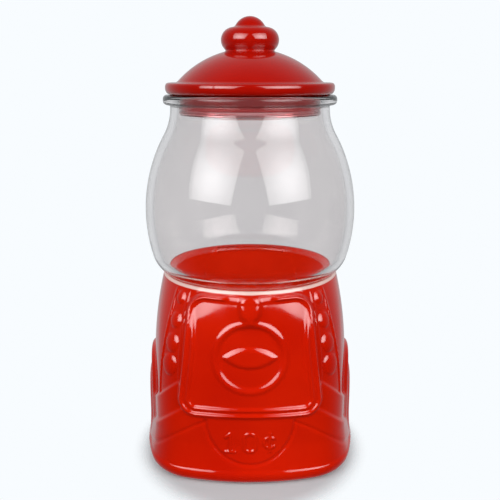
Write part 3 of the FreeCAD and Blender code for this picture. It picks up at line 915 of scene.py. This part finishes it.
def red_enamel(name, low, high):
    """Glossy red with a painted pale highlight at its thin upper edge, and open to light that comes from behind."""
    material, nodes, links, shader = new_material(name)
    tone = ramp(nodes, links, noise(nodes, links, scale=18, detail=3), low, high)
    # Mixes the painted pale highlight into the red by height.
    highlight_mix = nodes.new("ShaderNodeMix")
    highlight_mix.data_type = "RGBA"
    highlight_mix.inputs["B"].default_value = (*PAINTED_EDGE_HIGHLIGHT, 1)
    links.new(painted_highlight_share(nodes, links), highlight_mix.inputs["Factor"])
    links.new(tone, highlight_mix.inputs["A"])
    links.new(highlight_mix.outputs["Result"], shader.inputs["Base Color"])
    gloss = ramp(nodes, links, noise(nodes, links, scale=60, detail=4), GLOSS_LOW, GLOSS_HIGH)
    links.new(gloss, shader.inputs["Roughness"])
    shader.inputs["IOR"].default_value = 1.6
    shader.inputs["Specular IOR Level"].default_value = 0.7
    bump(nodes, links, noise(nodes, links, scale=140, detail=2), shader, strength=0.05, distance=0.0004)
    back = nodes.new("ShaderNodeNewGeometry").outputs["Backfacing"]
    blend_surface(nodes, links, back, shader.outputs["BSDF"], pass_light(nodes, COAT_PASS))
    return material


coat_skin.data.materials.append(red_enamel("red_enamel", RED_LOW, RED_HIGH))
lid_coat_skin.data.materials.append(red_enamel("red_lid_enamel", LID_RED_LOW, LID_RED_HIGH))
print("enamel on", coat_skin.name, lid_coat_skin.name)

# %% [markdown]
# Seen from inside the jar the same coat glows, because it is thin enough for daylight to come through. The inner
# face therefore mixes a plain red with a translucent one, and the outer face lets light in from behind.

# %% Underside of the enamel
UNDERSIDE_LOW = (0.62, 0.016, 0.002)
UNDERSIDE_HIGH = (0.70, 0.022, 0.003)
UNDERSIDE_GLOW = (0.9, 0.045, 0.006)
GLOW_SHARE = 0.45


def glowing_enamel():
    """The inner face of the coat: a plain red mixed with a red that passes light on."""
    material, nodes, links, shader = new_material("red_enamel_underside")
    tone = ramp(nodes, links, noise(nodes, links, scale=18, detail=3), UNDERSIDE_LOW, UNDERSIDE_HIGH)
    links.new(tone, shader.inputs["Base Color"])
    shader.inputs["Roughness"].default_value = 0.3
    glow = nodes.new("ShaderNodeBsdfTranslucent")
    glow.inputs["Color"].default_value = (*UNDERSIDE_GLOW, 1)
    blend_surface(nodes, links, GLOW_SHARE, shader.outputs["BSDF"], glow.outputs["BSDF"])
    return material


coat_skin.data.materials.append(glowing_enamel())
print("underside on", coat_skin.name)

# %% [markdown]
# Pressed glass is clear with a faint grey tint that only shows through its full thickness, and its faces are
# never quite flat, so reflections waver. The tint is set low because light crosses four faces on its way through.

# %% Clear glass
GLASS_LOW = (0.797, 0.772, 0.769)
GLASS_HIGH = (0.837, 0.809, 0.806)
GLASS_PASS = (0.96, 0.96, 0.96)


def let_light_through(nodes, links, shader, tint):
    """Lets shadow rays and soft light pass straight through, so that what stands behind the piece is lit."""
    path = nodes.new("ShaderNodeLightPath")
    shadow, soft = path.outputs["Is Shadow Ray"], path.outputs["Is Diffuse Ray"]
    either = math_node(nodes, links, "MAXIMUM", shadow, soft)
    blend_surface(nodes, links, either, shader.outputs["BSDF"], pass_light(nodes, tint))


def clear_glass():
    """Clear glass with a faint grey tint that drifts, and faces that waver a little."""
    material, nodes, links, shader = new_material("clear_glass_finish")
    tone = ramp(nodes, links, noise(nodes, links, scale=12, detail=2), GLASS_LOW, GLASS_HIGH)
    links.new(tone, shader.inputs["Base Color"])
    shader.inputs["Transmission Weight"].default_value = 1.0
    shader.inputs["Roughness"].default_value = 0.01
    shader.inputs["IOR"].default_value = 1.5
    bump(nodes, links, noise(nodes, links, scale=25, detail=1), shader, strength=0.04, distance=0.002)
    let_light_through(nodes, links, shader, GLASS_PASS)
    return material


glass = clear_glass()
for piece in (jar_skin, lid_skin):
    piece.data.materials.append(glass)
print("glass on", jar_skin.name, lid_skin.name)

# %% [markdown]
# The seal is soft clear plastic, milky where it is thick, so it scatters a little of what passes. Its pink is
# painted light: a cast of the red coat round it, painted into its tint.

# %% Clear seal
# Painted light: the pink tint stands for the red coat seen through and round the clear seal.
SEAL_PAINTED_PINK_LOW = (0.95, 0.44, 0.45)
SEAL_PAINTED_PINK_HIGH = (0.98, 0.52, 0.53)
SEAL_PASS = (0.97, 0.93, 0.93)


def clear_seal():
    """Soft clear plastic with a painted pink cast that stands for the red of the coat round it."""
    material, nodes, links, shader = new_material("clear_seal_finish")
    tone = ramp(nodes, links, noise(nodes, links, scale=80, detail=3), SEAL_PAINTED_PINK_LOW, SEAL_PAINTED_PINK_HIGH)
    links.new(tone, shader.inputs["Base Color"])
    shader.inputs["Transmission Weight"].default_value = 0.96
    shader.inputs["Roughness"].default_value = 0.12
    shader.inputs["IOR"].default_value = 1.4
    bump(nodes, links, noise(nodes, links, scale=300, detail=2), shader, strength=0.1, distance=0.0003)
    let_light_through(nodes, links, shader, SEAL_PASS)
    return material


seal_skin.data.materials.append(clear_seal())
print("seal finish on", seal_skin.name)

# %% [markdown]
# The stage comes last, and its sizes are in metres. The floor is a pale matt sheet that keeps the shadow of the jar
# and fades out to nothing around it, so that no edge shows. Its grey near the foot, shaped by the fade, is a painted
# shadow that adds to the real one. An endless plane could do this too, but its white would have to match the room's.

# %% Pale floor
# Painted shadow: the floor's grey and where it fades, set forward and narrowed, darken the ground at the foot as
# shade would.
FLOOR_AND_PAINTED_SHADOW_TONE = (0.56, 0.62, 0.64)
FLOOR_R = 0.2
PAINTED_SHADOW_START = 0.068
PAINTED_SHADOW_END = 0.094
PAINTED_SHADOW_FORWARD = 0.012
PAINTED_SHADOW_NARROW = 1.15
WHITE = (1, 1, 1)


def stage_sheet(name, points, material):
    """A sheet of the stage from a grid of points."""
    rows, columns = points.shape[:2]
    index = np.arange(rows * columns).reshape(rows, columns)
    faces = np.stack([index[:-1, :-1], index[:-1, 1:], index[1:, 1:], index[1:, :-1]], axis=-1).reshape(-1, 4)
    mesh = bpy.data.meshes.new(name)
    mesh.from_pydata(points.reshape(-1, 3).tolist(), [], faces.tolist())
    sheet = bpy.data.objects.new(name, mesh)
    mesh.materials.append(material)
    bpy.context.scene.collection.objects.link(sheet)
    return sheet


def floor_with_painted_shadow():
    """A pale matt floor under the jar that fades out to nothing around it; its grey near the foot is a painted
    shadow.
    """
    material, nodes, links, shader = new_material("floor_with_painted_shadow")
    shader.inputs["Base Color"].default_value = (*FLOOR_AND_PAINTED_SHADOW_TONE, 1)
    shader.inputs["Roughness"].default_value = 0.9
    place = nodes.new("ShaderNodeTexCoord")
    shift = nodes.new("ShaderNodeMapping")
    shift.inputs["Location"].default_value = (0, PAINTED_SHADOW_FORWARD, 0)
    shift.inputs["Scale"].default_value = (PAINTED_SHADOW_NARROW, 1, 1)
    away = nodes.new("ShaderNodeVectorMath")
    away.operation = "LENGTH"
    painted_shadow_fade = nodes.new("ShaderNodeMapRange")
    painted_shadow_fade.interpolation_type = "SMOOTHERSTEP"
    painted_shadow_fade.inputs["From Min"].default_value = PAINTED_SHADOW_START
    painted_shadow_fade.inputs["From Max"].default_value = PAINTED_SHADOW_END
    links.new(place.outputs["Object"], shift.inputs["Vector"])
    links.new(shift.outputs["Vector"], away.inputs[0])
    links.new(away.outputs["Value"], painted_shadow_fade.inputs["Value"])
    blend_surface(nodes, links, painted_shadow_fade.outputs["Result"], shader.outputs["BSDF"], pass_light(nodes, WHITE))
    return material


across, deep = np.meshgrid(np.linspace(-FLOOR_R, FLOOR_R, 9), np.linspace(-FLOOR_R, FLOOR_R, 9))
floor = stage_sheet("floor", np.stack([across, deep, np.zeros_like(across)], axis=-1), floor_with_painted_shadow())
floor.visible_glossy = False
print("floor fades from", PAINTED_SHADOW_START, "to", PAINTED_SHADOW_END)

# %% [markdown]
# Dark flags round a camera keep a glossy red deep, because there is little pale to mirror. A dim shell does that
# here, dark in front and paler behind. Only reflections and glass see it, and light that has crossed the jar finds
# it pale all round, so that the glass is clear from every side.

# %% Dim room
ROOM = (0.939, 0.973, 1.0)
DIM_ROOM_R = 3.0
DARK_TO = -0.5
PALE_FROM = 0.8
ROOM_FRONT = 0.11
ROOM_BEHIND = 0.82
ROOM_CURVE = 3.0
GLASS_GAIN = 0.7
WALLS_CROSSED = 2.5


def dim_room():
    """Dark in front and paler behind to reflections, but pale all round to light that has crossed the jar."""
    material, nodes, links, shader = new_material("dim_room")
    nodes.remove(shader)  # the room only glows
    glow = nodes.new("ShaderNodeEmission")
    glow.inputs["Color"].default_value = (*ROOM, 1)
    place = nodes.new("ShaderNodeTexCoord")
    parts = nodes.new("ShaderNodeSeparateXYZ")
    level = nodes.new("ShaderNodeMapRange")
    level.inputs["From Min"].default_value = DARK_TO * DIM_ROOM_R
    level.inputs["From Max"].default_value = PALE_FROM * DIM_ROOM_R
    level.inputs["To Min"].default_value = ROOM_FRONT
    level.inputs["To Max"].default_value = ROOM_BEHIND
    path = nodes.new("ShaderNodeLightPath")
    links.new(place.outputs["Object"], parts.inputs["Vector"])
    links.new(parts.outputs["Y"], level.inputs["Value"])
    behind = math_node(nodes, links, "POWER", level.outputs["Result"], ROOM_CURVE)
    through_glass = math_node(nodes, links, "MULTIPLY", path.outputs["Is Transmission Ray"], GLASS_GAIN)
    gain = math_node(nodes, links, "ADD", through_glass, 1.0)
    behind = math_node(nodes, links, "MULTIPLY", behind, gain)
    crossed = math_node(nodes, links, "GREATER_THAN", path.outputs["Transmission Depth"], WALLS_CROSSED)
    links.new(math_node(nodes, links, "MAXIMUM", behind, crossed), glow.inputs["Strength"])
    links.new(glow.outputs["Emission"], nodes["Material Output"].inputs["Surface"])
    return material


turn, lift = np.meshgrid(np.radians(np.linspace(0, 360, 73)), np.radians(np.linspace(-90, 90, 46)))
ball = np.stack([np.cos(turn) * np.cos(lift), np.sin(turn) * np.cos(lift), np.sin(lift)], axis=-1)
shell = stage_sheet("dim_room", DIM_ROOM_R * ball, dim_room())
shell.visible_camera = False
shell.visible_diffuse = False
shell.visible_shadow = False
print("dim room", DIM_ROOM_R, "away")

# %% [markdown]
# The room itself is near white. It has that colour for the camera, for gloss and for glass, and lights the piece
# only gently, so the white background adds no light to the object.

# %% Pale room
AMBIENT = 0.14

world = bpy.data.worlds.new("pale_room")
bpy.context.scene.world = world
world.use_nodes = True
room_nodes, room_links = world.node_tree.nodes, world.node_tree.links
room_nodes.clear()
room_nodes.new("ShaderNodeOutputWorld")
room_path = room_nodes.new("ShaderNodeLightPath")
seen = room_nodes.new("ShaderNodeBackground")
seen.inputs["Color"].default_value = (*ROOM, 1)
lit = room_nodes.new("ShaderNodeBackground")
lit.inputs["Color"].default_value = (*WHITE, 1)
lit.inputs["Strength"].default_value = AMBIENT
looked_at = room_path.outputs["Is Camera Ray"]
for ray in ("Is Glossy Ray", "Is Transmission Ray"):
    looked_at = math_node(room_nodes, room_links, "MAXIMUM", looked_at, room_path.outputs[ray])
lit_light, seen_light = lit.outputs["Background"], seen.outputs["Background"]
blend_surface(room_nodes, room_links, looked_at, lit_light, seen_light, "World Output")
print("room light", AMBIENT)

# %% [markdown]
# Two tall soft boxes stand left and right of the camera. Their reflections are the upright patches on the globe
# and on the panel, so each one is placed by the angles at which it should be seen from the jar. A weaker one stands
# behind, so that the back is lit and daylight comes through the coat.

# %% Soft boxes
BOX_AZIMUTH = 44
BOX_ELEVATION = 30
BOX_DISTANCE = 1.7
BOX_WIDE = 1.6
BOX_TALL = 1.4
BOX_RADIANCE = 3.2
BACK_ELEVATION = 40
BACK_TALL = 1.0
BACK_RADIANCE = 2.0
AIM_Z = 0.13
HOT_SPOT = 0.35
HOT_REACH = 0.7
HOT_LEVEL = 1.7
RIM_LEVEL = 0.5


def soft_box(name, azimuth, elevation, tall, radiance):
    """An area lamp aimed at the middle of the jar, placed by the angles from which it shines."""
    lamp = bpy.data.lights.new(name, "AREA")
    lamp.shape = "RECTANGLE"
    lamp.size, lamp.size_y = BOX_WIDE, tall
    lamp.energy = radiance * math.pi * BOX_WIDE * tall
    lamp.use_nodes = True
    nodes, links = lamp.node_tree.nodes, lamp.node_tree.links
    place = nodes.new("ShaderNodeTexCoord")
    middle = nodes.new("ShaderNodeVectorMath")
    middle.operation = "DISTANCE"
    middle.inputs[1].default_value = (0.5, HOT_SPOT, 0)
    level = nodes.new("ShaderNodeMapRange")
    level.interpolation_type = "SMOOTHSTEP"
    level.inputs["From Min"].default_value = 0
    level.inputs["From Max"].default_value = HOT_REACH
    level.inputs["To Min"].default_value = HOT_LEVEL
    level.inputs["To Max"].default_value = RIM_LEVEL
    links.new(place.outputs["UV"], middle.inputs[0])
    links.new(middle.outputs["Value"], level.inputs["Value"])
    links.new(level.outputs["Result"], nodes["Emission"].inputs["Strength"])
    holder = bpy.data.objects.new(name, lamp)
    a, e = math.radians(azimuth), math.radians(elevation)
    away = np.array([math.sin(a) * math.cos(e), -math.cos(a) * math.cos(e), math.sin(e)])
    holder.location = np.array([0, 0, AIM_Z]) + BOX_DISTANCE * away
    holder.rotation_euler = (math.pi / 2 - e, 0, a)
    bpy.context.scene.collection.objects.link(holder)
    return holder


soft_box("left_box", -BOX_AZIMUTH, BOX_ELEVATION, BOX_TALL, BOX_RADIANCE)
soft_box("right_box", BOX_AZIMUTH, BOX_ELEVATION, BOX_TALL, BOX_RADIANCE)
back_box = soft_box("back_box", 180, BACK_ELEVATION, BACK_TALL, BACK_RADIANCE)
back_box.visible_transmission = False
back_box.visible_glossy = False
print("soft boxes at", -BOX_AZIMUTH, BOX_AZIMUTH, "and 180 degrees")

# %% [markdown]
# The camera stands in front, about as high as the lid, and looks a little down. Its focal length in pixels and the
# width of the picture give the lens.

# %% Camera
CAMERA_DISTANCE = 0.4621
CAMERA_HEIGHT = 0.2469
CAMERA_TILT = 13.9
FOCAL_PIXELS = 720.8
FRAME_PIXELS = 500
SENSOR_WIDTH = 36
CLIP_START = 0.01

lens = bpy.data.cameras.new("photo_view")
lens.sensor_width = SENSOR_WIDTH
lens.lens = FOCAL_PIXELS / FRAME_PIXELS * SENSOR_WIDTH
lens.clip_start = CLIP_START
camera = bpy.data.objects.new("photo_view", lens)
camera.location = (0, -CAMERA_DISTANCE, CAMERA_HEIGHT)
camera.rotation_euler = (math.radians(90 - CAMERA_TILT), 0, 0)
bpy.context.scene.collection.objects.link(camera)
bpy.context.scene.camera = camera
bpy.context.scene.view_settings.view_transform = "Standard"
print("lens", round(lens.lens, 2))
